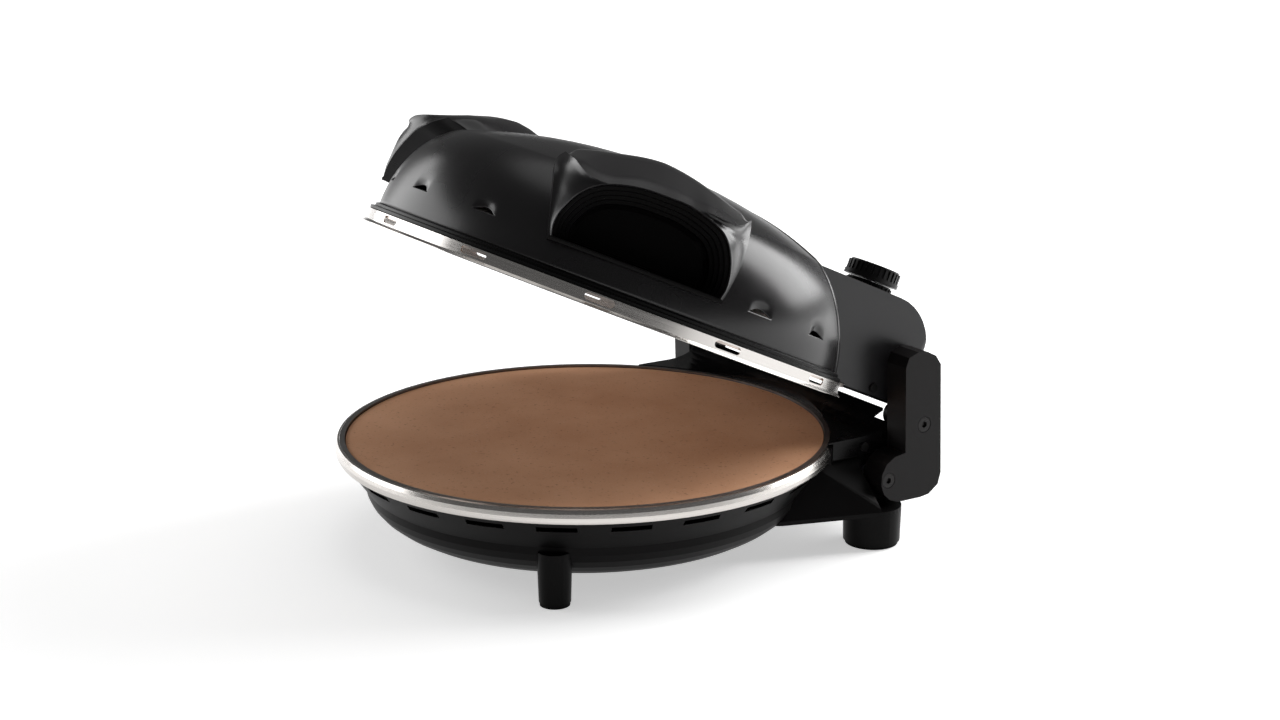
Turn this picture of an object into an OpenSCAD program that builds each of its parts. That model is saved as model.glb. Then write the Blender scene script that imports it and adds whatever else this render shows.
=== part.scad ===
// Countertop pizza oven with a baking stone and a hinged domed lid.
// Units are millimetres, +Z is up and the front faces -Y.
// The origin lies on the table under the middle of the open oven's box.

/* [Base] */
// height of the rim over the table
rim_h = 72; // [70:1:90]
// outer radius of the rim of the base
rim_r = 170; // [170:0.5:176]
// wall of the pressed steel bowl
shell_t = 1.2; // [1:0.1:1.6]
// width of a vent slot under the rim
vent_w = 26; // [15:1:32]
// radius of the rear feet
rear_foot_r = 20; // [15:1:20]
// radius of the front feet
front_foot_r = 11.4; // [8:0.2:13]

/* [Stone] */
// radius of the baking stone
stone_r = 164.2; // [155:0.1:164.2]
// thickness of the baking stone
stone_t = 8; // [6:0.5:8]

/* [Lid] */
// opening angle drawn, 0 = closed
lid_open = 24.51; // [0:0.01:60]
// outer radius of the steel ring of the lid
lid_r = 172.8; // [172:0.1:174]
// height of the dome over the ring
dome_h = 94; // [88:1:100]
// wall of the dome
dome_t = 1.4; // [1:0.1:2]
// outward direction of the side handles, degrees from the side towards the front
hood_az = 32; // [28:1:36]

/* [Hinge] */
// outer side of the arms
arm_x1 = 142.4; // [138:0.1:146]
// inner side of the arms
arm_x0 = 122.3; // [122.3:0.1:126]
// radius of the pivot screws
bolt_r = 4; // [3:0.1:4]

/* [Knob] */
// sideways place of the knob
knob_x = 84; // [60:1:90]
// radius of the knob's grip
knob_r = 18; // [14:1:18]

/* [Hidden] */
$fn = 96;
gap = 0.1;                 // gap left between pieces that only lie together
run = 0.05;                // radial play of a turning fit
shift_y = -16;             // puts the open oven's box over the origin
hinge_y = 183.7;           // lid pivot, seen from the middle of the rim
hinge_z = 9.5;
pv_y = 183.9;              // lid pivot, seen from the middle of the lid's ring
pv_z = -7;
toe_y = 154.2;             // pivot of the arms on the base
toe_z = -25.5;
floor_z = -63.4;           // underside of the bowl
wall_z0 = -10.5;           // where the bowl's wall starts under the band
wall_z1 = -32;             // where it rounds into the floor
bowl_a = 56;               // half axes of that rounding
bowl_c = 96;
bowl_b = wall_z1 - floor_z;
stone_z1 = -1.5;
stone_z0 = stone_z1 - stone_t;
ledge_t = 1;
pan_r = stone_r + 0.7;
box_x = 117.4;             // half width of the rear box
box_y1 = 178;
shelf_z0 = -47.5;
shelf_z1 = -44.6;
foot_x = 129.4;
foot_y = 150.8;
ffoot_x = 114;
ffoot_y = -91.5;
pad_t = 2.5;
vent_n = 15;
vent_a0 = -202.9;
vent_pitch = 16.56;
slot_n = 9;
slot_a0 = -209.4;
slot_pitch = 29;
crown_r = 134.1;           // where the crown meets the wall of the dome
crown_drop = 24.5;
crown_rad = (crown_r * crown_r + crown_drop * crown_drop) / (2 * crown_drop);
dome_c = 113;              // centre and half axes of the rounding of the dome's wall
dome_a = 54.4;
dome_z = 5;
dome_b = 70;
hs_x = 118;                // half width of the control housing
hs_y1 = 186;
hs_z1 = 68;
hs_rc = 40;
hs_t = 2.2;
hs_pc = 8;                 // rounding of its rear corners
lug_r = 8.6;
knob_y = 143;
knob_z = 73;
knob_h = 11;
arm_pts = [[168, -8], [166, 52], [168.6, 58.6], [176.4, 61.6], [184.3, 60.8], [191.8, 57],
           [196.3, 50.4], [199.6, -27], [197.4, -35.2], [189.6, -41], [182, -42.1],
           [163, -42.1], [155.5, -39.5], [150.4, -34.6], [148, -28], [148.2, -20.6],
           [152, -13.6], [159, -9.4]];
// balls at the corners of a handle's front end, rear end, face and roof
hood_pts = [[164.8, -51.5, 21.6], [159.4, -55.6, 40], [147, -60.6, 59], [135.6, -62.2, 68],
            [165, 57.8, 21.6], [160, 60.8, 40], [147, 61.4, 60], [134.6, 60.6, 70],
            [167, -40, 32], [167, 46, 32], [167, -26, 58], [167, 34, 58], [166, 4, 68],
            [112, -40, 84], [108, 0, 89], [110, 32, 82.5], [150, -14, 76], [148, 14, 76],
            [84, 0, 87], [158, -16, 73], [158, 20, 72],
            [169.6, -44, 52], [171, -37, 61], [171.4, -20, 64.5], [171.4, 4, 65.5],
            [171.2, 26, 64.5], [171, 42, 61], [168.8, 52, 50], [164.5, -45.5, 66],
            [164.5, 46, 66], [167.5, 56, 36]];

// ---------- placing ----------
module at_base() translate([0, shift_y, rim_h]) children();

module at_lid() at_base()
  translate([0, hinge_y, hinge_z]) rotate([-lid_open, 0, 0])
    translate([0, -pv_y, -pv_z]) children();

module pair() {
  children();
  mirror([1, 0, 0]) children();
}

// a cylinder along +X, from x to x + l
module rod_x(x, y, z, l, r) translate([x, y, z]) rotate([0, 90, 0]) cylinder(h = l, r = r);

// ---------- base ----------
// half section of the bowl, pushed inwards by t and with its top at z = top
module bowl_2d(t, top) polygon(concat(
  [[0, top], [rim_r - 2.8 - t, top], [rim_r - 2.8 - t, wall_z0]],
  [for (a = [0:10:90]) [bowl_c + (bowl_a - t) * cos(a), wall_z1 - (bowl_b - t) * sin(a)]],
  [[0, floor_z + t]]));

module bowl(t, top) rotate_extrude() bowl_2d(t, top);

// side fairing that carries the rear foot, drawn for +X
module fairing(t) hull() {
  translate([90, 108, shelf_z0 + t]) cube([box_x - 90 - t, 38 - t, 34 - 2 * t]);
  translate([foot_x, foot_y, shelf_z0 + t])
    cylinder(h = shelf_z1 - shelf_z0 - 2 * t, r = rear_foot_r - t, $fn = 32);
  translate([115, 82, shelf_z0 + t])
    cylinder(h = shelf_z1 - shelf_z0 - 2 * t, r = 14 - t, $fn = 32);
}

// room in which the toe of an arm swings
module toe_room() translate([box_x + 2, 144.5, shelf_z1])
  cube([60, 60, 70]);

module rear_box(t, z0, z1) translate([-box_x + t, 100, z0])
  cube([2 * (box_x - t), box_y1 - 100, z1 - z0]);

module base_shell() color("dimgray") at_base() difference() {
  union() {
    bowl(0, -1);
    rear_box(0, shelf_z0, -2.2);
    difference() {
      pair() fairing(0);
      pair() toe_room();
    }
  }
  bowl(shell_t, 0);
  difference() {
    rear_box(shell_t, shelf_z0 + shell_t, 1);
    cylinder(h = 60, r = rim_r - 2.7, center = true);
  }
  difference() {
    intersection() {
      rear_box(shell_t, shelf_z0 + shell_t, -14);
      cylinder(h = 200, r = rim_r, center = true);
    }
    bowl(0, -1);
  }
  for (i = [0:vent_n - 1]) rotate([0, 0, vent_a0 + i * vent_pitch])
    translate([rim_r - 20, -vent_w / 2, -18]) cube([30, vent_w, 4]);
  pair() rod_x(box_x - 4, toe_y, toe_z, 8, bolt_r + 1.5);
  pair() rod_x(box_x - 4, 150, -6.5, 8, 1.6);
  pair() translate([foot_x, foot_y, shelf_z0 - 1]) cylinder(h = 8, r = 2.2);
  pair() translate([ffoot_x, ffoot_y, floor_z - 1]) cylinder(h = 40, r = 2.2);
}

module band_2d() polygon([[rim_r - 1.4, 0], [rim_r, -0.4], [rim_r + 1.2, -3], [rim_r + 1.7, -5.6],
  [rim_r + 1.4, -8.4], [rim_r + 0.8, -9.6], [rim_r - 0.4, -9.6], [rim_r + 0.2, -8.2],
  [rim_r + 0.4, -5.6], [rim_r, -3.4], [rim_r - 1.2, -1.4]]);

// the band is open at the hinge
module rim_band() color("silver") at_base()
  rotate([0, 0, 137]) rotate_extrude(angle = 266) band_2d();

module rim_clips() color("black") at_base() pair()
  rotate([0, 0, 43.1]) rotate_extrude(angle = 2)
    translate([rim_r - 2.6, -12.4]) square([4.5, 11.4]);

module pan_2d() polygon([[pan_r, -1], [pan_r, stone_z0 - gap], [157.6, stone_z0 - gap],
  [146.8, -34], [0, -34], [0, -34 - ledge_t], [147.4, -34 - ledge_t],
  [157.2, stone_z0 - ledge_t - gap],
  [pan_r + ledge_t, stone_z0 - ledge_t - gap], [pan_r + ledge_t, -0.9], [rim_r - 1.6, -0.9],
  [rim_r - 1.6, 0], [pan_r, 0]]);

module inner_pan() color("darkgray") at_base() difference() {
  rotate_extrude() pan_2d();
  pair() translate([12.23, 116.36, -40]) cylinder(h = 12, r = 4.6);
  for (a = [30:120:270]) rotate([0, 0, a]) translate([115, 0, -40]) cylinder(h = 12, r = 1.6);
}

module stone() color("rosybrown") at_base()
  translate([0, 0, stone_z0]) cylinder(h = stone_t, r = stone_r);

module lower_heater() color("darkslategray") at_base() {
  rotate([0, 0, 96]) rotate_extrude(angle = 348)
    translate([117, -24]) circle(r = 3.6, $fn = 32);
  pair() translate([12.23, 116.36, -48]) cylinder(h = 28.2, r = 4.2);
}

module lower_heater_clips() color("silver") at_base() for (a = [30:120:270]) rotate([0, 0, a])
  difference() {
    union() {
      translate([109, -4, -34]) cube([14, 8, 2]);
      translate([110.5, -4, -34]) cube([13, 8, 15.2]);
      translate([115, 0, -38]) cylinder(h = 5, r = 1.5);
    }
    rotate([0, 0, -10]) rotate_extrude(angle = 20) translate([117, -24]) circle(r = 3.7, $fn = 32);
    translate([108, -5, -31]) cube([3, 10, 20]);
  }

module base_cutout() color("ivory") at_base() difference() {
  translate([0, 40, -46]) union() {
    cylinder(h = 10.8, r = 13);
    translate([-4, -20, 4]) cube([8, 40, 1.2]);
  }
  pair() translate([0, 56, -50]) cylinder(h = 20, r = 1.2);
}

// top of the deck: level at the rim, rising to the hinge
module deck_2d(t) polygon(concat([[100, -12 - t], [100, 0.6 - t], [148, 0.6 - t]],
  [for (a = [0:15:60]) [148 + (26 - t) * sin(a), 13.6 - t - 13 * cos(a)]],
  [[box_y1 + 2, 12 - t], [box_y1 + 2, -12 - t]]));

module deck_body(w, t) rotate([90, 0, 90]) translate([0, 0, -w]) linear_extrude(2 * w)
  deck_2d(t);

module hinge_deck() color("black") at_base() difference() {
  deck_body(box_x + 2, 0);
  difference() {
    deck_body(box_x + gap, 2);
    cylinder(h = 60, r = rim_r + 4, center = true);
  }
  translate([0, 0, -40]) cylinder(h = 80, r = rim_r - 1.4);
  translate([0, 0, -12.8]) cylinder(h = 12.4, r = rim_r + 2);
  rotate([0, 0, 45]) translate([0, -200, -50]) cube([400, 200, 100]);
  mirror([1, 0, 0]) rotate([0, 0, 45]) translate([0, -200, -50]) cube([400, 200, 100]);
  pair() translate([102, hinge_y - lug_r - 4, hinge_z - lug_r - 2]) cube([30, 30, 40]);
  pair() rod_x(box_x - 2, 150, -6.5, 8, 1.6);
  translate([-150, box_y1 - 0.2, -30]) cube([300, 10, 28]);
  translate([-box_x - gap, 90, -20]) cube([2 * (box_x + gap), box_y1 - 90, 17.9]);
}

module base_rear_cover() color("black") at_base() difference() {
  translate([-box_x, box_y1 + gap, shelf_z0]) cube([2 * box_x, 2, -2 - shelf_z0 - gap]);
  translate([-70, box_y1 - 2, -19]) rotate([-90, 0, 0]) cylinder(h = 8, r = 5);
  for (x = [-100, 100]) for (z = [-40, -24])
    translate([x, box_y1 - 2, z]) rotate([-90, 0, 0]) cylinder(h = 8, r = 1.6);
}

module cord_gland() color("black") at_base() translate([-70, box_y1, -19])
  rotate([-90, 0, 0]) difference() {
    union() {
      translate([0, 0, -4]) cylinder(h = 10, r = 4.9);
      translate([0, 0, 2.2]) cylinder(h = 5, r = 7);
      translate([0, 0, 7.2]) cylinder(h = 4, r1 = 6, r2 = 4.6);
      translate([0, 0, -5]) cylinder(h = 4.9, r = 7);
    }
    translate([0, 0, -8]) cylinder(h = 30, r = 3.2);
  }

module front_feet() color("black") at_base() pair() difference() {
  translate([ffoot_x, ffoot_y, pad_t - rim_h])
    cylinder(h = 34, r1 = front_foot_r - 1, r2 = front_foot_r);
  bowl(-gap, 0);
  translate([ffoot_x, ffoot_y, -rim_h]) cylinder(h = 60, r = 2);
  translate([ffoot_x, ffoot_y, -rim_h]) cylinder(h = 14, r = 4);
}

module rear_feet() color("black") at_base() pair() difference() {
  translate([foot_x, foot_y, pad_t - rim_h])
    cylinder(h = rim_h + shelf_z0 - pad_t, r1 = rear_foot_r - 0.6, r2 = rear_foot_r);
  translate([foot_x, foot_y, -rim_h]) cylinder(h = 60, r = 2);
  translate([foot_x, foot_y, pad_t - rim_h - 1]) cylinder(h = 13, r = 5);
}

module foot_pads() color("darkslategray") at_base() pair() {
  translate([foot_x, foot_y, -rim_h]) difference() {
    cylinder(h = pad_t, r = rear_foot_r - 2);
    translate([0, 0, -1]) cylinder(h = 6, r = 5);
  }
  translate([ffoot_x, ffoot_y, -rim_h]) difference() {
    cylinder(h = pad_t, r = front_foot_r - 1.6);
    translate([0, 0, -1]) cylinder(h = 6, r = 4);
  }
}

module hinge_lugs() color("gray") at_base() pair() difference() {
  union() {
    translate([100, 140, shelf_z0 + shell_t]) cube([box_x - shell_t - gap - 100, 32, 36]);
    rod_x(106, toe_y, toe_z, 13, bolt_r + 1.3);
  }
  translate([98, 146, shelf_z0 + shell_t + 4]) cube([9, 40, 40]);
  rod_x(90, toe_y, toe_z, 60, bolt_r);
}

module arm_pivot_bolts() color("silver") at_base() pair() difference() {
  union() {
    rod_x(104, toe_y, toe_z, arm_x1 - 3.2 - 104, bolt_r);
    rod_x(arm_x1 - 3.2, toe_y, toe_z, 3, bolt_r + 1);
  }
  translate([arm_x1 - 2, toe_y, toe_z]) rotate([0, 90, 0]) cylinder(h = 5, r = 2.2, $fn = 6);
}

module toe_washers() color("silver") at_base() pair() difference() {
  rod_x(box_x + 2, toe_y, toe_z, arm_x0 - box_x - 2.1, 6.8);
  rod_x(100, toe_y, toe_z, 60, bolt_r + 1.4);
}

module base_screws() color("silver") at_base() {
  pair() {
    rod_x(box_x - 2, 150, -6.5, 4, 1.5);
    rod_x(box_x + 2, 150, -6.5, 1.6, 3.2);
    translate([foot_x, foot_y, pad_t - rim_h + 8.6]) cylinder(h = 3.4, r = 4);
    translate([foot_x, foot_y, pad_t - rim_h + 12]) cylinder(h = 14.4, r = 1.9);
    translate([ffoot_x, ffoot_y, 11 - rim_h]) cylinder(h = 3, r = 3.4);
    translate([ffoot_x, ffoot_y, 14 - rim_h]) cylinder(h = 17, r = 1.9);
  }
  for (x = [-100, 100]) for (z = [-40, -24]) translate([x, box_y1, z]) rotate([-90, 0, 0]) {
    translate([0, 0, -3]) cylinder(h = 5.1, r = 1.5);
    translate([0, 0, 2.1]) cylinder(h = 1.4, r = 3);
  }
}

// ---------- hinge ----------
module arm_body() rotate([90, 0, 90]) translate([0, 0, arm_x0])
  linear_extrude(arm_x1 - arm_x0) offset(r = 1, $fn = 24) offset(delta = -1) polygon(arm_pts);

module arm() difference() {
  arm_body();
  rod_x(100, hinge_y, hinge_z, 60, bolt_r);
  rod_x(arm_x1 - 3.4, hinge_y, hinge_z, 10, bolt_r + 1.6);
  rod_x(100, toe_y, toe_z, 60, bolt_r + run);
  rod_x(arm_x1 - 3.4, toe_y, toe_z, 10, bolt_r + 1.3);
  rod_x(100, 188, -33, arm_x0 + 8 - 100, 3);
}

module hinge_arm_right() color("dimgray") at_base() arm();

module hinge_arm_left() color("dimgray") at_base() mirror([1, 0, 0]) arm();

module arm_tie() color("gray") at_base() {
  rod_x(-arm_x0, 188, -33, 2 * arm_x0, 5);
  rod_x(-arm_x0 - 7.8, 188, -33, 2 * arm_x0 + 15.6, 3);
}

module lid_pivot_bolts() color("silver") at_base() pair() difference() {
  union() {
    rod_x(107, hinge_y, hinge_z, arm_x1 - 3.2 - 107, bolt_r);
    rod_x(arm_x1 - 3.2, hinge_y, hinge_z, 3, bolt_r + 1.2);
  }
  translate([arm_x1 - 2, hinge_y, hinge_z]) rotate([0, 90, 0]) cylinder(h = 5, r = 2.4, $fn = 6);
}

module lid_washers() color("silver") at_base() pair() difference() {
  rod_x(hs_x + 0.6, hinge_y, hinge_z, arm_x0 - hs_x - 0.7, 7.2);
  rod_x(100, hinge_y, hinge_z, 60, bolt_r + 0.02);
}

// ---------- lid ----------
// everything in front of the joint between dome and housing
module front_part(s) translate([-250, -300 - s, -60]) multmatrix([[1, 0, 0, 0],
  [0, 1, -0.5, 0], [0, 0, 1, 0]]) translate([0, 434, 0]) mirror([0, 1, 0]) cube([500, 434, 240]);

wall_a = asin((dome_h - crown_drop - dome_z) / dome_b);

// half section of the dome's outside, pushed inwards by t
module dome_2d(t) polygon(concat([[0, -2], [dome_c + dome_a - t, -2]],
  [for (i = [0:8]) let (a = i * wall_a / 8)
    [dome_c + (dome_a - t) * cos(a), dome_z + (dome_b - t) * sin(a)]],
  [for (i = [1:6]) let (r = (crown_r - t * cos(wall_a)) * (1 - i / 6))
    [r, dome_h - t - crown_rad + sqrt(crown_rad * crown_rad - r * r)]]));

module dome_solid(t) rotate_extrude() dome_2d(t);

// the recess of a handle: x points outwards, y along the handle
module recess(g, x0, x1) translate([x0, 0, 0]) rotate([90, 0, 90]) linear_extrude(x1 - x0)
  polygon(concat([[-50 + g, 21 + g / 2], [54 - g, 21 + g / 2]],
    [for (a = [0:9:180]) [4 + (53 - g) * sign(cos(a)) * pow(abs(cos(a)), 0.7),
                          30 + (38.5 - g) * pow(sin(a), 0.7)]]));

module to_hood() rotate([0, 0, -hood_az]) children();

module lid_dome() color("dimgray") at_lid() difference() {
  intersection() {
    dome_solid(0);
    front_part(0);
    translate([0, 0, 100.2 + 5]) cube([400, 400, 200], center = true);
  }
  dome_solid(dome_t);
  pair() to_hood() recess(-gap, 100, 200);
  for (a = [-112.5, -90, -67.5, 0, 20, 160, 180]) rotate([0, 0, a])
    translate([150, -10, 21.5]) cube([30, 20, 2]);
}

module lid_flange() color("black") at_lid() intersection() {
  rotate_extrude() polygon([[164, 0], [lid_r - 0.2, 0], [lid_r - 0.2, 1.8], [lid_r - 3, 2.4],
    [lid_r - 3, 4], [167.4, 5], [165.4, 5], [164, 3]]);
  front_part(0);
}

module ring_2d() polygon([[lid_r - 1, -gap], [lid_r, -0.6], [lid_r, -7.6], [lid_r + 2, -9.2],
  [lid_r + 2, -9.66], [lid_r - 0.6, -9.66], [lid_r - 1, -9.2]]);

module lid_ring() color("silver") at_lid() difference() {
  intersection() {
    rotate_extrude() ring_2d();
    front_part(0);
  }
  for (i = [0:slot_n - 1]) rotate([0, 0, slot_a0 + i * slot_pitch])
    translate([lid_r - 6, 0, -3.9]) rotate([0, 90, 0]) {
      translate([-2.4, -7.4, 0]) cube([4.8, 14.8, 12]);
      for (s = [-7.4, 7.4]) translate([0, s, 0]) cylinder(h = 12, r = 2.4, $fn = 32);
    }
}

// handle body for +X, before the dome is taken away
module hood_hull() hull() for (p = hood_pts) translate(p) sphere(r = 3, $fn = 16);

module hood() to_hood() difference() {
  hood_hull();
  dome_solid(-gap);
  recess(-gap, 100, 200);
}

module handle_right() color("dimgray") at_lid() hood();

module handle_left() color("dimgray") at_lid() mirror([1, 0, 0]) hood();

// pocket behind the handle, its back steps inwards like a seashell
module liner() to_hood() difference() {
  recess(0, 132, 180);
  difference() {
    translate([0, 0, 10]) cylinder(h = 80, r = 220);
    translate([0, 0, 9]) cylinder(h = 82, r = 168);
  }
  for (i = [0:4]) recess(1.6 + 3 * i, 158 - 6 * i, 190);
}

module grip_liner_right() color("black") at_lid() liner();

module grip_liner_left() color("black") at_lid() mirror([1, 0, 0]) liner();

module dish_2d(t) polygon(concat([[0, -3], [166.6 - t, -3]],
  [for (a = [0:10:90]) [70 + (62 - t) * cos(a), 6 + (58 - t) * sin(a)]], [[0, 64 - t]]));

// inner dish of the lid, its rim lies under the flange
module upper_reflector() color("silver") at_lid() difference() {
  union() {
    rotate_extrude() dish_2d(0);
    translate([0, 0, -3]) cylinder(h = 2.8, r = lid_r - 1.2);
  }
  translate([0, 0, -0.01]) rotate_extrude() dish_2d(0.8);
  translate([0, 0, -4]) cylinder(h = 3, r = 165.8);
  pair() translate([11.7, 130, 22]) rotate([-90, 0, 0]) cylinder(h = 12, r = 4.6, center = true);
}

module upper_heater() color("darkslategray") at_lid() {
  rotate([0, 0, 96]) rotate_extrude(angle = 348)
    translate([112, 22]) circle(r = 3.6, $fn = 32);
  pair() translate([11.7, 106.8, 22]) rotate([-90, 0, 0]) cylinder(h = 44.6, r = 4.2);
}

module upper_heater_clips() color("silver") at_lid() for (a = [30:120:270]) rotate([0, 0, a])
  difference() {
    translate([106, -4, 17.4]) cube([12, 8, 30]);
    rotate([0, 0, -10]) rotate_extrude(angle = 20) translate([112, 22]) circle(r = 3.7, $fn = 32);
    translate([105, -5, 16]) cube([3, 10, 5]);
    rotate([0, 0, -10]) rotate_extrude(angle = 20) difference() {
      translate([90, 17]) square([60, 60]);
      dish_2d(0.9);
    }
  }

// side outline of the control housing, pushed inwards by t
module hs_side(t) polygon(concat([[40, -0.8], [hs_y1 - t, -0.8]],
  [for (a = [0:10:90])
    [hs_y1 - hs_rc + (hs_rc - t) * cos(a), hs_z1 - hs_rc + (hs_rc - t) * sin(a)]],
  [[40, hs_z1 - t]]));

module hs_body(t) intersection() {
  rotate([90, 0, 90]) translate([0, 0, -hs_x + t]) linear_extrude(2 * (hs_x - t)) hs_side(t);
  translate([0, 0, -20]) linear_extrude(120) union() {
    translate([-hs_x + t, 20]) square([2 * (hs_x - t), hs_y1 - 20 - hs_pc]);
    translate([-hs_x + hs_pc, 20]) square([2 * (hs_x - hs_pc), hs_y1 - 20 - t]);
    pair() translate([hs_x - hs_pc, hs_y1 - hs_pc]) circle(r = hs_pc - t);
  }
}

// the housing with the bulkhead that closes the dome behind
module control_housing() color("dimgray") at_lid() difference() {
  union() {
    difference() {
      hs_body(0);
      hs_body(hs_t);
    }
    intersection() {
      dome_solid(0.6);
      front_part(-3.2);
      translate([-200, 60, 0.3]) cube([400, 80, 100]);
    }
  }
  front_part(-1.2);
  rotate_extrude() dish_2d(-0.4);
  translate([0, 0, -6]) cylinder(h = 6.3, r = lid_r - 0.8);
  translate([knob_x, knob_y, hs_z1 - 10]) cylinder(h = 20, r = 5);
  pair() rod_x(hs_x - 4, pv_y - 34, 4, 8, 1.6);
  pair() rod_x(106, pv_y, pv_z, 20, lug_r + 0.2);
}

module housing_cover() color("black") at_lid() difference() {
  union() {
    translate([0, 0, -2.5]) linear_extrude(1.6) intersection() {
      difference() {
        union() {
          translate([-hs_x, 104]) square([2 * hs_x, hs_y1 - 104 - hs_pc]);
          translate([-hs_x + hs_pc, 104]) square([2 * (hs_x - hs_pc), hs_y1 - 104]);
          pair() translate([hs_x - hs_pc, hs_y1 - hs_pc]) circle(r = hs_pc);
        }
        circle(r = lid_r - 1);
      }
    }
    pair() rod_x(108, pv_y, pv_z, hs_x - 108, lug_r);
    pair() translate([106, pv_y - lug_r, -2.4]) cube([6, lug_r - 1, 12]);
    pair() translate([108, pv_y - 38, -2.4]) cube([hs_x - hs_t - gap - 108, 8, 12]);
  }
  pair() rod_x(100, pv_y, pv_z, 60, bolt_r + run);
  pair() rod_x(100, pv_y - 34, 4, 60, 1.6);
}

module thermostat() color("silver") at_lid() difference() {
  union() {
    translate([knob_x, knob_y, 34]) cylinder(h = 20, r = 15);
    translate([knob_x, knob_y, 54]) cylinder(h = hs_z1 - hs_t - 54 - gap, r = 4.8);
  }
  translate([knob_x, knob_y, 44]) cylinder(h = 40, r = 3.05);
}

module thermostat_spindle() color("gray") at_lid()
  translate([knob_x, knob_y, 44.1]) cylinder(h = knob_z + 9 - 44.1, r = 3);

// the top of the housing slopes away under the boss
module knob_boss() color("black") at_lid() difference() {
  union() {
    difference() {
      translate([knob_x, knob_y, hs_z1 - 5]) union() {
        cylinder(h = 9, r = 15.6);
        for (a = [0:15:345]) rotate([0, 0, a]) translate([14.6, -0.9, 0]) cube([1.9, 1.8, 8]);
      }
      hs_body(-gap);
    }
    translate([knob_x, knob_y, hs_z1 - hs_t]) cylinder(h = 5, r = 4.9);
  }
  translate([knob_x, knob_y, 50]) cylinder(h = 40, r = 3.4);
}

module control_knob() color("black") at_lid() translate([knob_x, knob_y, knob_z]) difference() {
  union() {
    cylinder(h = 3, r = knob_r + 1.4);
    translate([0, 0, 3]) cylinder(h = knob_h - 3, r1 = knob_r, r2 = knob_r - 0.8);
    for (a = [0:12:348]) rotate([0, 0, a])
      translate([knob_r - 2, -1, 3]) cube([2.7, 2, knob_h - 4.2]);
  }
  translate([0, 0, -1]) cylinder(h = 10.2, r = 3);
}

module terminal_block() color("ivory") at_lid() difference() {
  translate([-30, 173, -0.9]) cube([40, 10, 13]);
  for (x = [-25, -15, -5, 5]) {
    translate([x, 178, 4]) cylinder(h = 20, r = 2.2);
    translate([x - 2, 160, 2]) cube([4, 30, 4]);
  }
}

module lid_screws() color("silver") at_lid() pair() {
  rod_x(108.5, pv_y - 34, 4, hs_x - 108.5, 1.5);
  rod_x(hs_x, pv_y - 34, 4, 1.4, 3.2);
}

base_shell();
rim_band();
rim_clips();
inner_pan();
stone();
lower_heater();
lower_heater_clips();
base_cutout();
hinge_deck();
base_rear_cover();
cord_gland();
front_feet();
rear_feet();
foot_pads();
hinge_lugs();
arm_pivot_bolts();
toe_washers();
base_screws();
hinge_arm_left();
hinge_arm_right();
arm_tie();
lid_pivot_bolts();
lid_washers();
lid_dome();
lid_flange();
lid_ring();
handle_left();
handle_right();
grip_liner_left();
grip_liner_right();
upper_reflector();
upper_heater();
upper_heater_clips();
control_housing();
housing_cover();
thermostat();
thermostat_spindle();
control_knob();
knob_boss();
terminal_block();
lid_screws();
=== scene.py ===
"""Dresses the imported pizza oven: lid open, steel bands, stone in the base, studio light."""
import math

import bpy
import bmesh
from mathutils import Matrix, Vector


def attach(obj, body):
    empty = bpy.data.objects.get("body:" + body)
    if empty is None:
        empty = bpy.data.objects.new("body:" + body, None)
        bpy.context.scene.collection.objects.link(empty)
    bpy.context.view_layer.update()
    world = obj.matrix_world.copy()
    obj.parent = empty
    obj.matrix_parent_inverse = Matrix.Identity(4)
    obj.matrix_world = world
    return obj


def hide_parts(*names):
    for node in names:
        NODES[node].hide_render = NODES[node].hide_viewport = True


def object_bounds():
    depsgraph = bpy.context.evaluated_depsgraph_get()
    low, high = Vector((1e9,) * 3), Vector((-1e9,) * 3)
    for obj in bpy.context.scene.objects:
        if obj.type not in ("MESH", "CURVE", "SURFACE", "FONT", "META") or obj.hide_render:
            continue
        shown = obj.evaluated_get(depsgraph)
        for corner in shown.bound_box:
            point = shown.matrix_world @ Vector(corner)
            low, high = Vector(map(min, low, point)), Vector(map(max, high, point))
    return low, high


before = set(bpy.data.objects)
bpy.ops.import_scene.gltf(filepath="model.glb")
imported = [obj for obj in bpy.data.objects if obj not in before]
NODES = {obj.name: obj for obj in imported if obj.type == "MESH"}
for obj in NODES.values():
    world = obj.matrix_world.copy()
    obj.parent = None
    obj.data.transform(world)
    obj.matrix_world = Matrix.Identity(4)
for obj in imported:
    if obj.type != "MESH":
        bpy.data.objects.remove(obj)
CAD_BOX = [[float(c) for c in corner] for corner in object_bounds()]

# ---------------------------------------------------------------- frames
MM = 0.001
TILT = math.radians(24.51)          # the lid's opening at rest
BASE_Y = -0.016                     # the middle of the base, in metres
HINGE_Y, HINGE_Z = 0.1677, 0.0815   # the lid's hinge in the frame, in metres
BEHIND, BELOW = 183.9, 7            # and in the lid's own millimetres
LID = (Matrix.Translation((0, HINGE_Y, HINGE_Z)) @ Matrix.Rotation(-TILT, 4, "X")
       @ Matrix.Scale(MM, 4) @ Matrix.Translation((0, -BEHIND, BELOW)))
HOOD_AZ = math.radians(32)          # each side handle is turned this far to the front
FLIP = Matrix.Scale(-1, 4, (1, 0, 0))

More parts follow.
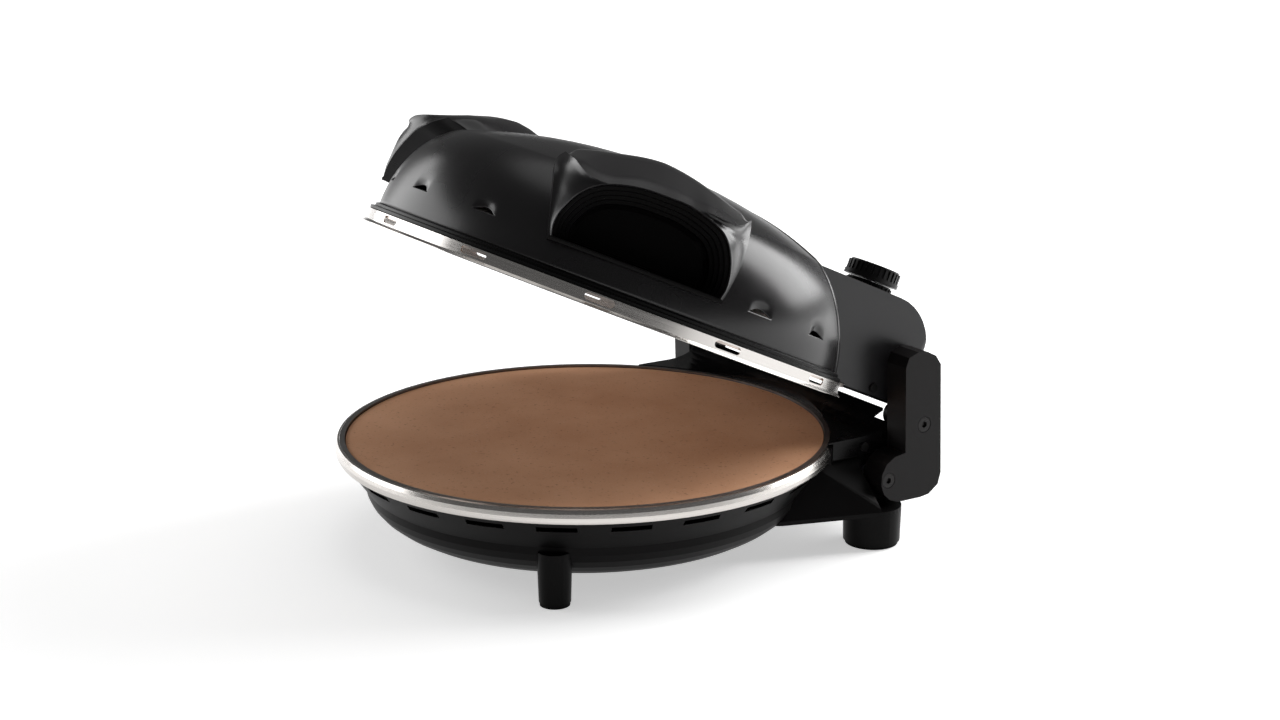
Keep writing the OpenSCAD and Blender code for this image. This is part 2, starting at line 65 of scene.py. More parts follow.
# ---------------------------------------------------------------- camera
CAMERA_TURN, CAMERA_RISE = 1.00547913, 0.26736816       # radians
CAMERA_AT = (1.247982, -0.762873, 0.519437)
view = Vector((math.sin(CAMERA_TURN) * math.cos(CAMERA_RISE),
               -math.cos(CAMERA_TURN) * math.cos(CAMERA_RISE), math.sin(CAMERA_RISE)))
right = Vector((math.cos(CAMERA_TURN), math.sin(CAMERA_TURN), 0))
up = view.cross(right)
cam_data = bpy.data.cameras.new("camera")
cam_data.lens = 61.875
cam_data.sensor_width = 36
cam_data.clip_end = 60
cam = bpy.data.objects.new("camera", cam_data)
cam.matrix_world = Matrix((
    (right.x, up.x, view.x, CAMERA_AT[0]), (right.y, up.y, view.y, CAMERA_AT[1]),
    (right.z, up.z, view.z, CAMERA_AT[2]), (0, 0, 0, 1)))
bpy.context.scene.collection.objects.link(cam)
bpy.context.scene.camera = cam


# ---------------------------------------------------------------- materials
class Shade:
    """A node material that is built step by step around one Principled shader."""

    def __init__(self, name, color, rough, metal=0.0, spec=0.5):
        self.mat = bpy.data.materials.new(name)
        self.mat.use_nodes = True
        self.tree = self.mat.node_tree
        self.bsdf = self.tree.nodes["Principled BSDF"]
        self.set("Base Color", (*color, 1))
        self.set("Roughness", rough)
        self.set("Metallic", metal)
        self.set("Specular IOR Level", spec)
        self.coord = self.tree.nodes.new("ShaderNodeTexCoord").outputs["Object"]

    def set(self, socket, value):
        self.bsdf.inputs[socket].default_value = value

    def node(self, kind, **values):
        n = self.tree.nodes.new("ShaderNode" + kind)
        for k, v in values.items():
            if k in n.inputs:
                n.inputs[k].default_value = v
            else:
                setattr(n, k, v)
        return n

    def link(self, a, b):
        self.tree.links.new(a, b)

    def place(self, loc=(0, 0, 0), rot=(0, 0, 0), scale=(1, 1, 1), src=None):
        n = self.node("Mapping")
        n.inputs["Location"].default_value = loc
        n.inputs["Rotation"].default_value = rot
        n.inputs["Scale"].default_value = scale
        self.link(src or self.coord, n.inputs["Vector"])
        return n.outputs["Vector"]

    def round_coord(self, origin, rot_x, k_az, k_r, k_z):
        """Coordinates that run round an axis: azimuth, radius and height, each scaled."""
        a = self.place(loc=tuple(-c for c in origin))
        v = self.place(rot=(rot_x, 0, 0), src=a)
        s = self.node("SeparateXYZ")
        self.link(v, s.inputs[0])
        az = self.node("Math", operation="ARCTAN2")
        self.link(s.outputs["Y"], az.inputs[0])
        self.link(s.outputs["X"], az.inputs[1])
        xy = self.node("CombineXYZ")
        self.link(s.outputs["X"], xy.inputs[0])
        self.link(s.outputs["Y"], xy.inputs[1])
        rad = self.node("VectorMath", operation="LENGTH")
        self.link(xy.outputs[0], rad.inputs[0])
        c = self.node("CombineXYZ")
        for i, (out, k) in enumerate(((az.outputs[0], k_az), (rad.outputs["Value"], k_r),
                                      (s.outputs["Z"], k_z))):
            m = self.node("Math", operation="MULTIPLY")
            self.link(out, m.inputs[0])
            m.inputs[1].default_value = k
            self.link(m.outputs[0], c.inputs[i])
        return c.outputs[0]

    def noise(self, scale, detail=3, vector=None, rough=0.5):
        n = self.node("TexNoise", Scale=scale, Detail=detail, Roughness=rough)
        self.link(vector or self.coord, n.inputs["Vector"])
        return n.outputs["Fac"]

    def ramp(self, fac, lo, hi, a, b):
        n = self.node("MapRange")
        self.link(fac, n.inputs["Value"])
        for i, v in zip((1, 2, 3, 4), (lo, hi, a, b)):
            n.inputs[i].default_value = v
        return n.outputs["Result"]

    def blend(self, fac, a, b):
        n = self.node("Mix", data_type="RGBA")
        self.link(fac, n.inputs["Factor"])
        for sock, v in ((n.inputs[6], a), (n.inputs[7], b)):
            if isinstance(v, tuple):
                sock.default_value = (*v, 1)
            else:
                self.link(v, sock)
        return n.outputs[2]

    def paint(self, out):
        self.link(out, self.bsdf.inputs["Base Color"])
        return self

    def polish(self, out):
        self.link(out, self.bsdf.inputs["Roughness"])
        return self

    def bump(self, height, distance, strength=1.0, last=None):
        n = self.node("Bump", Strength=strength, Distance=distance)
        self.link(height, n.inputs["Height"])
        if last is not None:
            self.link(last, n.inputs["Normal"])
        self.link(n.outputs["Normal"], self.bsdf.inputs["Normal"])
        return n.outputs["Normal"]


def enamel(name, color, rough, spec):
    """Baked satin paint: orange peel, faint cloudiness, a little lighter where it is rubbed."""
    dust, peel = 0.35, 0.00002
    s = Shade(name, color, rough, 0, spec)
    cloud = s.noise(9, 4)
    fine = s.noise(900, 2)
    light = tuple(min(1, c * (1 + dust)) for c in color)
    dark = tuple(c * (1 - 0.25 * dust) for c in color)
    body = s.blend(s.ramp(cloud, 0.35, 0.7, 0, 1), dark, light)
    speck = s.ramp(s.noise(2600, 2), 0.68, 0.78, 0, 0.25)
    s.paint(s.blend(speck, body, tuple(min(1, c * 2.2 + 0.002) for c in color)))
    s.polish(s.ramp(cloud, 0.3, 0.7, rough - 0.05, rough + 0.06))
    s.bump(fine, peel, 0.6)
    return s.mat


def moulded(name, color, rough, spec, grain=1500, depth=0.00004):
    """Moulded plastic with a fine spark-eroded grain."""
    s = Shade(name, color, rough, 0, spec)
    g = s.noise(grain, 4, rough=0.65)
    cloud = s.noise(14, 3)
    light = tuple(c * 1.35 for c in color)
    s.paint(s.blend(s.ramp(cloud, 0.3, 0.75, 0, 1), color, light))
    s.polish(s.ramp(g, 0.3, 0.7, rough - 0.06, rough + 0.08))
    s.bump(g, depth, 0.5)
    return s.mat


def brushed(name, color, rough, origin, rot_x):
    """Stainless sheet that is brushed round the axis of the oven."""
    wear, lines, k_az = 0.10, 1500, 1.4
    s = Shade(name, color, rough, 1)
    v = s.round_coord(origin, rot_x, k_az, lines, lines)
    grain = s.noise(1, 2, v, 0.5)
    smear = s.noise(1.6, 3, s.round_coord(origin, rot_x, 2.6, 40, 60))
    dark = tuple(c * (1 - wear) for c in color)
    s.paint(s.blend(s.ramp(grain, 0.3, 0.7, 0, 1), dark, color))
    a = s.ramp(grain, 0.25, 0.75, rough - 0.03, rough + 0.04)
    b = s.node("Math", operation="ADD")
    s.link(a, b.inputs[0])
    s.link(s.ramp(smear, 0.35, 0.7, -0.02, 0.04), b.inputs[1])
    s.polish(b.outputs[0])
    s.bump(grain, 0.000003, 0.1)
    return s.mat


def sheet(name, color, rough, metal=1.0, stain=(0.25, 0.2, 0.15)):
    """Dull coated sheet with spangle and heat stains."""
    s = Shade(name, color, rough, metal)
    v = s.node("TexVoronoi", Scale=260)
    s.link(s.coord, v.inputs["Vector"])
    spangle = s.ramp(v.outputs["Color"], 0, 1, 0, 1)
    dark = tuple(c * 0.86 for c in color)
    a = s.blend(spangle, dark, color)
    s.paint(s.blend(s.ramp(s.noise(16, 4), 0.5, 0.8, 0, 0.35), a, stain))
    s.polish(s.ramp(s.noise(60, 4), 0.3, 0.7, rough - 0.08, rough + 0.1))
    s.bump(s.noise(400, 3), 0.00002, 0.4)
    return s.mat


LID_AXIS = tuple(LID @ Vector((0, 0, 0)))
PAINT_LID = enamel("lid enamel", (0.0080, 0.0073, 0.0080), 0.28, 0.44)
PAINT_RIM = enamel("flange enamel", (0.0030, 0.0028, 0.0030), 0.34, 0.16)
PAINT_BASE = enamel("base enamel", (0.0032, 0.0029, 0.0030), 0.42, 0.075)
PAINT_DECK = enamel("deck enamel", (0.0030, 0.0028, 0.0030), 0.24, 0.13)
HOUSE = moulded("housing plastic", (0.0095, 0.0090, 0.0100), 0.33, 0.40)
BLACK = moulded("black plastic", (0.0026, 0.0023, 0.0024), 0.36, 0.075)
KNOB = moulded("knob plastic", (0.0034, 0.0030, 0.0032), 0.34, 0.22, 1900)
POCKET = moulded("pocket plastic", (0.0018, 0.0015, 0.0015), 0.50, 0.07, 1200)
ARM = moulded("arm paint", (0.0065, 0.0056, 0.0058), 0.42, 0.17, 900, 0.00006)
RUBBER = moulded("foot rubber", (0.004, 0.004, 0.004), 0.75, 0.1, 700, 0.0001)
BOLT = sheet("blackened screws", (0.012, 0.011, 0.011), 0.34, 0.6, stain=(0.02, 0.018, 0.016))
BAND = brushed("rim steel", (0.66, 0.63, 0.60), 0.22, (0, BASE_Y, 0), 0)
RING = brushed("lid ring steel", (0.66, 0.635, 0.61), 0.20, LID_AXIS, TILT)
PAN = sheet("pan sheet", (0.24, 0.23, 0.225), 0.40, stain=(0.12, 0.10, 0.08))
DISH = sheet("reflector sheet", (0.62, 0.56, 0.52), 0.34, stain=(0.45, 0.30, 0.24))
ZINC = sheet("zinc screws", (0.50, 0.50, 0.52), 0.35)
SHEATH = sheet("element sheath", (0.085, 0.08, 0.08), 0.5, 0.7)
CERAMIC = moulded("white insulator", (0.75, 0.72, 0.66), 0.35, 0.5, 500)


def stone_material():
    """Fired clay stone: pinkish brown, pale specks, darker pores and soft baking marks."""
    s = Shade("baking stone", (0.60, 0.33, 0.20), 0.78, 0, 0.25)
    cloud = s.noise(14, 5)
    grit = s.noise(700, 4, rough=0.7)
    body = s.blend(s.ramp(cloud, 0.3, 0.72, 0, 1), (0.60, 0.31, 0.17), (0.72, 0.40, 0.235))
    body = s.blend(s.ramp(grit, 0.60, 0.72, 0, 0.55), body, (0.78, 0.58, 0.45))
    body = s.blend(s.ramp(s.noise(420, 3), 0.62, 0.72, 0, 0.6), body, (0.34, 0.16, 0.09))
    s.paint(body)
    s.polish(s.ramp(grit, 0.3, 0.7, 0.68, 0.88))
    s.bump(grit, 0.0002, 0.45)
    return s.mat


STONE = stone_material()


# ---------------------------------------------------------------- mesh helpers
def build(name, verts, faces, mat, matrix, body, slot, replaces=(), sharp=32,
          modifiers=(), edit=None):
    """A mesh piece from points in millimetres, placed by matrix, riding on body."""
    mesh = bpy.data.meshes.new(name)
    mesh.from_pydata([tuple(v) for v in verts], [], faces)
    bm = bmesh.new()
    bm.from_mesh(mesh)
    bmesh.ops.remove_doubles(bm, verts=bm.verts, dist=0.004)
    if edit:
        edit(bm)
    bmesh.ops.recalc_face_normals(bm, faces=bm.faces)
    bm.to_mesh(mesh)
    bm.free()
    mesh.transform(matrix)
    if matrix.determinant() < 0:
        mesh.flip_normals()
    mesh.validate()
    obj = bpy.data.objects.new(name, mesh)
    bpy.context.scene.collection.objects.link(obj)
    mesh.materials.append(mat)
    finish_mesh(obj, sharp, modifiers)
    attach(obj, body)
    if replaces:
        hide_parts(*replaces)
    return obj


def finish_mesh(obj, sharp=32, modifiers=()):
    """Smooth shading with sharp edges over that many degrees, then the modifiers."""
    obj.data.polygons.foreach_set("use_smooth", [True] * len(obj.data.polygons))
    obj.data.set_sharp_from_angle(angle=math.radians(sharp))
    for kind, values in modifiers:
        m = obj.modifiers.new(kind.lower(), kind)
        for k, v in values.items():
            setattr(m, k, v)


def join(*parts):
    """One mesh of several."""
    verts, faces = [], []
    for v, f in parts:
        o = len(verts)
        verts += v
        faces += [tuple(i + o for i in face) for face in f]
    return verts, faces


def ease(t):
    """Smooth step from 0 to 1."""
    t = max(0.0, min(1.0, t))
    return t * t * (3 - 2 * t)


def mix(a, b, t):
    return tuple(p + (q - p) * t for p, q in zip(a, b))


def curve(points, n):
    """n + 1 points, evenly spaced on a smooth curve through the given ones."""
    first, last = mix(points[1], points[0], 2), mix(points[-2], points[-1], 2)
    ext = [first, *points, last]
    dense = []
    for a, b, c, d in zip(ext, ext[1:], ext[2:], ext[3:]):
        for k in range(12):
            t = k / 12
            dense.append(tuple(
                0.5 * (2 * q + (r - p) * t + (2 * p - 5 * q + 4 * r - w) * t * t
                       + (3 * q - p - 3 * r + w) * t ** 3)
                for p, q, r, w in zip(a, b, c, d)))
    dense.append(tuple(points[-1]))
    run = [0.0]
    for a, b in zip(dense, dense[1:]):
        run.append(run[-1] + math.dist(a, b))
    out, j = [], 0
    for i in range(n + 1):
        goal = run[-1] * i / n
        while j < len(run) - 2 and run[j + 1] < goal:
            j += 1
        gap = run[j + 1] - run[j]
        out.append(mix(dense[j], dense[j + 1], (goal - run[j]) / gap if gap else 0))
    return out


def table(t, points):
    """Straight interpolation in a list of (t, value) pairs."""
    for (t0, v0), (t1, v1) in zip(points, points[1:]):
        if t <= t1:
            return v0 + (v1 - v0) * max(0, t - t0) / (t1 - t0)
    return points[-1][1]


def grid(rows, loop=False):
    """Quads between rows of equally many points; loop closes each row on itself."""
    k = len(rows[0])
    verts = [tuple(p) for row in rows for p in row]
    faces = []
    for i in range(len(rows) - 1):
        for j in range(k if loop else k - 1):
            j2 = (j + 1) % k
            faces.append((i * k + j, i * k + j2, (i + 1) * k + j2, (i + 1) * k + j))
    return verts, faces


# ---------------------------------------------------------------- the dome
DOME_C, DOME_A, DOME_Z, DOME_B = 113.0, 54.4, 5.0, 70.0     # rounding of the wall
CREASE_R, CREASE_Z = 134.1, 69.5                            # where the crown begins
CROWN_R, CROWN_Z = 379.3, 94.0
TRIM_Y, TRIM_LEAN = 104, 0.5         # the dome ends at this y, less so much of the height
LOUVRES = (-112.5, -90, -67.5, 0, 20, 160, 180)
SLIT_Z, SCOOP_HIGH, SCOOP_WIDE, SCOOP_DEPTH, GAP_HIGH = 22.0, 10.0, 9.6, 2.6, 3.2


def dome_radius(z):
    """Radius of the dome's outside at height z."""
    if z > CREASE_Z:
        return math.sqrt(CROWN_R ** 2 - (z + CROWN_R - CROWN_Z) ** 2)
    t = max(0.0, (z - DOME_Z) / DOME_B)
    return DOME_C + DOME_A * math.sqrt(1 - t * t)


def dome_height(r):
    """Height of the dome's outside at radius r."""
    if r < CREASE_R:
        return CROWN_Z - CROWN_R + math.sqrt(CROWN_R ** 2 - r * r)
    return DOME_Z + DOME_B * math.sqrt(max(0.0, 1 - ((r - DOME_C) / DOME_A) ** 2))


def press(az, z):
    """How deep the sheet is pressed in above a louvre, and how far it is raised there."""
    off = min(abs((az - a + 180) % 360 - 180) for a in LOUVRES)
    side = math.radians(off) * dome_radius(z) / SCOOP_WIDE
    swell = max(0.0, 1 - side * side) ** 1.5
    fade = ease(1 - (z - SLIT_Z) / SCOOP_HIGH)
    return SCOOP_DEPTH * swell * fade, GAP_HIGH * swell * fade


def azimuths():
    """Degrees at which the dome has points, closer together at the louvres."""
    marks = {round(1.5 * i, 2) for i in range(240)}
    for a in LOUVRES:
        marks |= {round((a + 0.3 * k) % 360, 2) for k in range(-14, 15)}
    return sorted(marks)


# ---------------------------------------------------------------- the side handles
# x points outwards from the middle of the lid, y runs along the handle to the rear
PIT = [(-51.6, 22.6), (-52.6, 26), (-53.2, 30.5), (-52.6, 36), (-51, 41), (-46.9, 49.6),
       (-43.4, 54.2), (-38.6, 58.9), (-29.5, 64), (-11.4, 68.7), (9, 69.5), (24, 68.6),
       (41.5, 63.4), (50, 57.6), (56, 48.3), (59.2, 38.3), (60, 29), (58.8, 22.6)]
PIT_F, PIT_R = 8, 11                # places in PIT where the roof's creases end
EDGE_F = [(167.4, -53.2, 19.9), (165.8, -55.7, 30), (162.2, -58.2, 40), (156.7, -60.7, 50),
          (149.6, -63.2, 60), (142.8, -64.7, 65.6), (137.2, -64.6, 70.2), (131, -61.3, 75.2)]
EDGE_R = [(167.4, 60.6, 19.9), (165.8, 62, 30), (162.2, 63.6, 40), (156.7, 64.4, 50),
          (149.6, 64.4, 60), (142.8, 64, 66), (137.2, 63.6, 71), (131.5, 62.6, 76)]
FOLD_F = [(131, -61.3, 75.2), (138.5, -58.3, 73.8), (147, -56.3, 72.8), (154.2, -54.3, 72),
          (161, -51.5, 70), (165.7, -48.1, 67.6), (169.3, -43.8, 65.4), (172, -37.6, 64)]
FOLD_R = [(131.5, 62.6, 76), (138, 61, 73.8), (147, 58.6, 71.6), (156, 55.8, 69.8),
          (164, 52, 68.5), (169.5, 47.5, 68), (172.8, 41.5, 68.2), (173.8, 33, 69.1)]
CROWN_LINE = [(111.6, -61.3), (101, -50), (90, -30), (85, -10), (85, 10), (89, 28),
              (97, 45), (111, 62.6)]
ROOF_RISE = [(0, 0), (0.1, 0.34), (0.27, 0.62), (0.5, 0.99), (0.6, 1), (0.71, 0.92),
             (0.82, 0.67), (0.93, 0.26), (1, 0)]
STEPS = [(1.2, 1.0), (6, 1.3), (6.3, 3.4), (12, 3.8), (12.3, 6.0), (18, 6.4), (18.3, 8.6),
         (24, 9.0), (24.3, 11.2), (31, 11.8), (33.4, 14.5)]
SINK = 0.8                          # how far the handle's edges reach into the dome
MOUTH_X, MOUTH_Y = 168.2, 3.4       # the mouth stands this far out, and its middle along y
MOUTH_HALF, MOUTH_TALL = 56, 42     # half its length, and its height
MOUTH_END_F, MOUTH_END_R = -53.2, 60.6
LOW_Z = 19.9                        # lower end of a handle's edges
ROOF_HIGH, ROOF_HALF = 13, 70       # swell of the roof, and half its length


TOP_BEND = 2.5                      # over this height the roof flattens below the box's top


def under_top(x, y):
    """The lid height at which a point of the handle touches the top of the CAD's box."""
    behind = BEHIND - (y * math.cos(HOOD_AZ) - x * math.sin(HOOD_AZ))
    room = (CAD_BOX[1][2] - HINGE_Z) / MM - 0.05
    return (room - behind * math.sin(TILT)) / math.cos(TILT) - BELOW


def visor(z):
    """How far out the mouth of the handle stands at height z."""
    return MOUTH_X + 5.6 * max(0.0, min(1.0, (z - 36) / 28)) ** 1.25


def on_dome(y, z):
    """The point of the dome at y and z, a little under its skin."""
    return (math.sqrt((dome_radius(z) - SINK) ** 2 - y * y), y, z)


def cheek(edge, fold, mouth, side):
    """Concave face between a handle's outer edge, its roof and its mouth."""
    n, m = 28, 10
    edge, fold, mouth = curve(edge, n), curve(fold, m), curve(mouth, n)
    rows = []
    for i in range(n + 1):
        v, row = i / n, []
        for j in range(m + 1):
            u = j / m
            p = Vector(mix(edge[i], mouth[i], u))
            lift = Vector(fold[j]) - Vector(mix(fold[0], fold[m], u))
            width = math.dist(edge[i], mouth[i])
            hollow = 0.44 * u * (1 - u) * width * (1 - v ** 6)
            row.append(p + lift * v ** 2.5 - Vector((0.73, 0.68 * side, 0)) * hollow)
        rows.append(row)
    return grid(rows)


def side_wall(edge):
    """Outer flank of a handle, from its edge down to the dome."""
    n, m = 28, 5
    rows = []
    for x, y, z in curve(edge, n):
        low = on_dome(y, LOW_Z + (z - LOW_Z) * 0.925)
        rows.append([mix((x, y, z), low, j / m) for j in range(m + 1)])
    return grid(rows)


def hood_mesh():
    """Handle of sheet: two hollow cheeks, two flanks, the roof and the mouth's rolled edge."""
    rim = [(visor(z), y, z) for y, z in PIT]
    fold_f, fold_r = FOLD_F + [rim[PIT_F]], FOLD_R + [rim[PIT_R]]
    parts = [cheek(EDGE_F, fold_f, rim[:PIT_F + 1], -1),
             cheek(EDGE_R, fold_r, rim[:PIT_R - 1:-1], 1), side_wall(EDGE_F), side_wall(EDGE_R)]
    n, m, calming = 96, 26, 60
    outer = curve(fold_f + rim[PIT_F + 1:PIT_R] + fold_r[::-1], n)
    calm = [Vector(p) for p in outer]
    for _ in range(calming):
        calm = [calm[0], *[(a + b * 2 + c) / 4 for a, b, c in zip(calm, calm[1:], calm[2:])],
                calm[-1]]
    inner = curve([(x, y, 0) for x, y in CROWN_LINE], n)
    rows = []
    for i in range(n + 1):
        row = []
        x1, y1, _ = inner[i]
        end = (x1, y1, dome_height(math.hypot(x1, y1)) - SINK)
        y = calm[i].y
        rise = (ROOF_HIGH * max(0.0, 1 - (y / ROOF_HALF) ** 2) ** 0.65
                * (1 - 0.004 * max(0.0, y)) * ease(min(i, n - i) / n / 0.1))
        for j in range(m + 1):
            u = (j / m) ** 1.3
            p = Vector(mix(calm[i], end, u)) + Vector((0, 0, rise * table(u, ROOF_RISE)))
            p += (Vector(outer[i]) - calm[i]) * (1 - ease(u / 0.5))
            over = p.z - under_top(p.x, p.y) + TOP_BEND
            if over > 0:
                p.z -= over - TOP_BEND * (1 - math.exp(-over / TOP_BEND))
            row.append(p)
        rows.append(row)
    parts.append(grid(rows))
    loop = pit_loop()
    parts.append(grid([loop, sink_loop(loop, 0.35, 0.5), sink_loop(loop, 1.2, 1.0)], loop=True))
    return join(*parts)


def sill_mesh():
    """Narrow ledge under the handle's mouth."""
    rows = []
    for i in range(41):
        y = MOUTH_END_F + (MOUTH_END_R - MOUTH_END_F) * i / 40
        rows.append([(MOUTH_X, max(PIT[0][0], min(PIT[-1][0], y)), PIT[0][1]),
                     (MOUTH_X, y, 21.6), (MOUTH_X - 0.5, y, 20.2), on_dome(y, 19.2)])
    return grid(rows)


def pit_loop():
    """The mouth of the handle as a closed row of points."""
    top = curve([(visor(z), y, z) for y, z in PIT], 96)
    low = [mix(top[-1], top[0], i / 40) for i in range(1, 40)]
    return top + low


def sink_loop(loop, depth, inset):
    """The mouth's row moved in by depth and drawn together by inset."""
    out = []
    for x, y, z in loop:
        narrow, low = 1 - inset / MOUTH_HALF, 1 - inset / MOUTH_TALL
        out.append((x - depth - (x - MOUTH_X) * min(1, depth / 20),
                    MOUTH_Y + (y - MOUTH_Y) * narrow, 23 + (z - 23) * low + inset * 0.12))
    return out


def pocket_mesh():
    """Pocket behind the mouth, its wall drawn in by steps to a flat back."""
    loop = pit_loop()
    rows = [sink_loop(loop, d, i) for d, i in STEPS]
    verts, faces = grid(rows, loop=True)
    k = len(loop)
    faces.append(tuple(range(len(verts) - k, len(verts))))
    return verts, faces


def inside_pit(y, z, margin):
    """True where a point lies in the handle's mouth, margin in from its outline."""
    floor_z = PIT[0][1] - 0.2
    if z < floor_z:
        return False
    k = 1 - margin / MOUTH_HALF
    pts = [(MOUTH_Y + (a - MOUTH_Y) * k, floor_z + (b - PIT[0][1]) * k) for a, b in PIT]
    hit = False
    for (y0, z0), (y1, z1) in zip(pts, pts[1:] + pts[:1]):
        if (z0 > z) != (z1 > z) and y < y0 + (z - z0) * (y1 - y0) / (z1 - z0):
            hit = not hit
    return hit


def trim_dome(bm):
    """Cuts the dome off in front of the housing and opens it behind the handles."""
    bmesh.ops.bisect_plane(bm, geom=[*bm.verts, *bm.edges, *bm.faces], dist=0.0001,
                           plane_co=(0, TRIM_Y, 0), plane_no=(0, 1, TRIM_LEAN),
                           clear_outer=True)
    gone = []
    ca, sa = math.cos(HOOD_AZ), math.sin(HOOD_AZ)
    for face in bm.faces:
        x = abs(face.calc_center_median().x)
        if x < 60:
            continue
        pts = [(abs(v.co.x) * sa + v.co.y * ca, v.co.z) for v in face.verts]
        if all(inside_pit(y, z, 1.5) for y, z in pts):
            gone.append(face)
    bmesh.ops.delete(bm, geom=gone, context="FACES")


def dome_mesh():
    """The dome's outer skin in two bands that part at the louvres."""
    low = [(dome_radius(z), z) for z in (3, 7, 11, 15, 18, 20, 21.2, SLIT_Z)]
    zs = [SLIT_Z, 22.7, 23.5, 24.4, 25.3, 26.2, 27.1, 28, 28.9, 30, 33, 36, 39, 42, 45, 48, 51,
          54, 57, 60, 62.5, 64.8, 66.8, 68.3, CREASE_Z - 0.25]
    high = [(dome_radius(z), z) for z in zs]
    high += [(r, dome_height(r)) for r in (CREASE_R - 0.5, 131, 126, 119, 110, 100, 89, 77,
                                           64, 50, 35, 18, 0.001)]
    marks = azimuths()
    parts = []
    for rows in (low, high):
        ring = []
        for r, z in rows:
            row = []
            for az in marks:
                a = math.radians(az)
                d, lift = press(az, z) if rows is high else (0, 0)
                row.append(((r - d) * math.cos(a), (r - d) * math.sin(a), z + lift))
            ring.append(row)
        parts.append(grid(ring, loop=True))
    return join(*parts)


# across the hem: height over the dome and distance to the front
HEM = [(-1.2, 0), (-0.2, -0.3), (0.5, -0.1), (0.65, 0.6), (0.6, 2.0), (0.3, 2.8), (-0.4, 3.1)]


def dome_hem():
    """Folded edge of the dome where it meets the housing."""
    path = []
    for i in range(-30, 31):
        z = 3 + (CREASE_Z - 3) * (1 - (abs(i) / 30))
        y = TRIM_Y - TRIM_LEAN * z
        path.append((math.copysign(math.sqrt(dome_radius(z) ** 2 - y * y), i), y, z))
    end = path[31][0]
    crown = []
    for i in range(-20, 21):
        x, z = end * i / 20, 80.0
        for _ in range(12):
            y = TRIM_Y - TRIM_LEAN * z
            z = dome_height(math.hypot(x, y))
        crown.append((x, y, z))
    path = path[:30] + crown + path[31:]
    rows = []
    for x, y, z in path:
        crown = z > CREASE_Z - 0.5
        t = max(0.0, (z - DOME_Z) / DOME_B)
        out = Vector((0, 0, 1)) if crown else (
            Vector((x, y, 0)).normalized() * math.sqrt(1 - t * t) + Vector((0, 0, t))).normalized()
        row = []
        for lift, b in HEM:
            if crown:
                p = Vector((x, y - b, dome_height(math.hypot(x, y - b))))
            else:
                r = dome_radius(z)
                p = Vector((math.copysign(math.sqrt(r * r - (y - b) ** 2), x), y - b, z))
            row.append(p + out * lift)
        rows.append(row)
    return grid(rows)


build("dome_skin", *dome_mesh(), PAINT_LID, LID, "lid", "black_paint", ("lid_dome",),
      edit=trim_dome, modifiers=(("SOLIDIFY", {"thickness": 0.0011, "offset": -1}),))
build("dome_hem", *dome_hem(), PAINT_LID, LID, "lid", "black_paint")
for side, flip in (("right", Matrix.Identity(4)), ("left", FLIP)):
    place = LID @ flip @ Matrix.Rotation(-HOOD_AZ, 4, "Z")
    build("hood_" + side, *hood_mesh(), PAINT_LID, place, "lid", "dark_plastic",
          ("handle_" + side,), sharp=24)
    build("pocket_" + side, *pocket_mesh(), POCKET, place, "lid", "knob_plastic",
          ("grip_liner_" + side,), sharp=40)
    build("sill_" + side, *sill_mesh(), BLACK, place, "lid", "dark_plastic")

# ---------------------------------------------------------------- carried-over nodes
LOOK = {
    "base_shell": PAINT_BASE, "rim_band": BAND, "rim_clips": BLACK, "inner_pan": PAN,
    "stone": STONE, "lower_heater": SHEATH, "lower_heater_clips": PAN,
    "base_cutout": CERAMIC, "hinge_deck": PAINT_DECK, "base_rear_cover": PAINT_BASE,
    "cord_gland": BLACK, "front_feet": BLACK, "rear_feet": BLACK, "foot_pads": RUBBER,
    "hinge_lugs": PAN, "arm_pivot_bolts": BOLT, "toe_washers": ZINC, "base_screws": BOLT,
    "hinge_arm_left": ARM, "hinge_arm_right": ARM, "arm_tie": PAN, "lid_pivot_bolts": BOLT,
    "lid_washers": ZINC, "lid_flange": PAINT_RIM, "lid_ring": RING,
    "upper_reflector": DISH, "upper_heater": SHEATH, "upper_heater_clips": PAN,
    "control_housing": HOUSE, "housing_cover": BLACK, "thermostat": ZINC,
    "thermostat_spindle": ZINC, "control_knob": KNOB, "knob_boss": BLACK,
    "terminal_block": CERAMIC, "lid_screws": BOLT,
}
BROKEN_EDGE = (("BEVEL", {"width": 0.0008, "segments": 2, "limit_method": "ANGLE",
                          "angle_limit": math.radians(40)}),)
for name, mat in LOOK.items():
    obj = NODES[name]
    obj.data.materials.clear()
    obj.data.materials.append(mat)
    finish_mesh(obj, modifiers=BROKEN_EDGE if name.startswith("hinge_arm") else ())


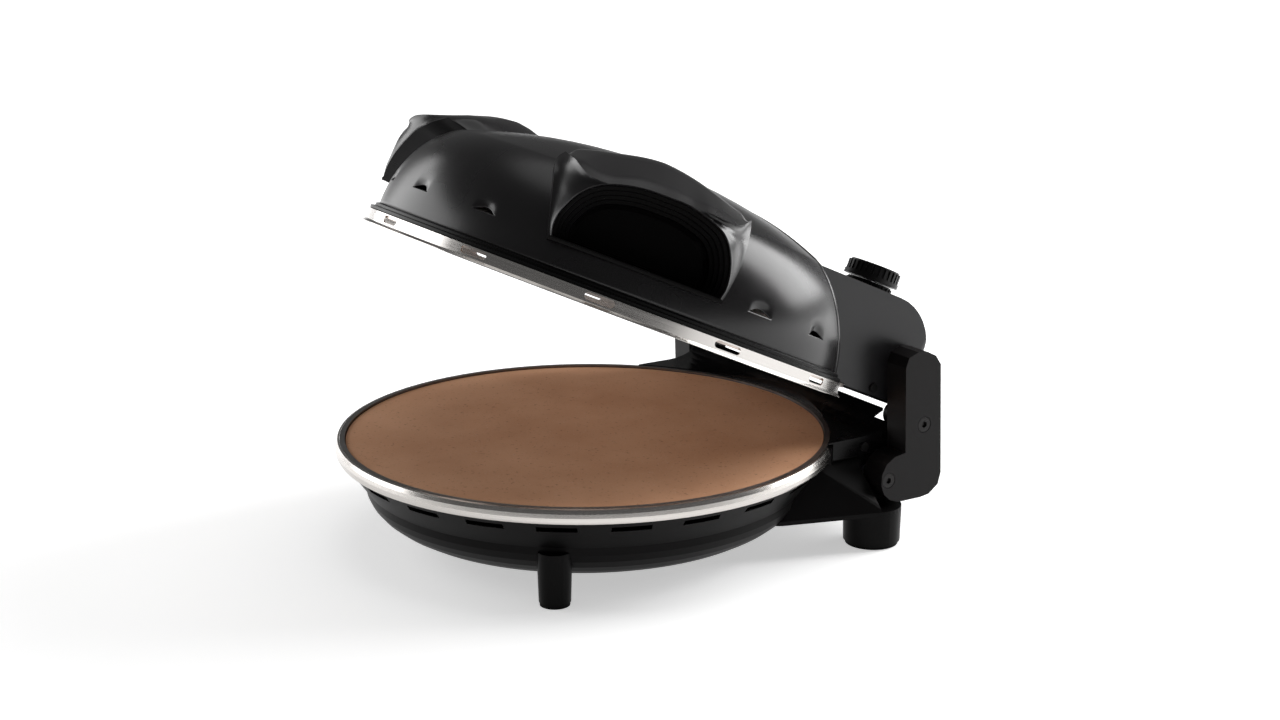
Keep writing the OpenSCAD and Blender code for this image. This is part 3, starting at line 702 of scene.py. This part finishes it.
# ---------------------------------------------------------------- studio
def paper_floor():
    """White paper: lit like the object, and a little brighter to the camera and in mirrors."""
    s = Shade("paper floor", (0.93, 0.93, 0.93), 0.8, 0, 0.1)
    s.paint(s.blend(s.ramp(s.noise(3, 2), 0.3, 0.7, 0, 1), (0.93, 0.93, 0.93),
                    (0.915, 0.915, 0.915)))
    path = s.node("LightPath")
    seen = path.outputs["Is Camera Ray"]
    for other in ("Is Glossy Ray", "Is Transmission Ray"):
        most = s.node("Math", operation="MAXIMUM")
        s.link(seen, most.inputs[0])
        s.link(path.outputs[other], most.inputs[1])
        seen = most.outputs[0]
    s.set("Emission Color", (1, 1, 1, 1))
    away = s.node("VectorMath", operation="LENGTH")
    s.link(s.coord, away.inputs[0])
    glow = s.node("Math", operation="MULTIPLY")
    s.link(seen, glow.inputs[0])
    s.link(s.ramp(away.outputs["Value"], 0.5, 2.5, *FLOOR_GLOW), glow.inputs[1])
    s.link(glow.outputs[0], s.bsdf.inputs["Emission Strength"])
    return s.mat


FLOOR_R, FLOOR_Z, FLOOR_SIDES = 14, -0.0003, 64
FLOOR_GLOW = (0.5, 0.95)            # near the oven and far from it
floor_mesh = bpy.data.meshes.new("floor")
turns = [math.tau * i / FLOOR_SIDES for i in range(FLOOR_SIDES)]
floor_mesh.from_pydata([(FLOOR_R * math.cos(a), FLOOR_R * math.sin(a), FLOOR_Z) for a in turns],
                       [], [tuple(range(FLOOR_SIDES))])
floor = bpy.data.objects.new("floor", floor_mesh)
floor_mesh.materials.append(paper_floor())
bpy.context.scene.collection.objects.link(floor)

world = bpy.data.worlds.new("studio")
bpy.context.scene.world = world
world.use_nodes = True
bg = world.node_tree.nodes["Background"]
bg.inputs["Color"].default_value = (1, 1, 1, 1)
bg.inputs["Strength"].default_value = 0.12


def aim(name, data, azimuth, elevation, distance):
    """Hangs a lamp round the oven and turns it to the middle of the part."""
    a, e = math.radians(azimuth), math.radians(elevation)
    spot = Vector((math.cos(e) * math.cos(a), math.cos(e) * math.sin(a), math.sin(e)))
    middle = Vector((0, 0, 0.12))
    obj = bpy.data.objects.new(name, data)
    obj.matrix_world = Matrix.LocRotScale(middle + spot * distance,
                                          (-spot).to_track_quat("-Z", "Y"), None)
    bpy.context.scene.collection.objects.link(obj)


def softbox(name, azimuth, elevation, distance, width, height, level):
    """A box light whose face is level times as bright as white paper."""
    data = bpy.data.lights.new(name, "AREA")
    data.shape = "RECTANGLE"
    data.size, data.size_y = width, height
    data.energy = level * math.pi * width * height
    aim(name, data, azimuth, elevation, distance)


top = bpy.data.lights.new("top light", "SUN")
top.energy, top.angle = 0.55, math.radians(50)
aim("top light", top, 120, 72, 3)
softbox("rear box", 80, 27, 2.0, 1.3, 1.6, 7.0)
softbox("front box", -146, 17, 2.0, 2.2, 1.1, 3.0)

bpy.context.scene.view_settings.view_transform = "Standard"
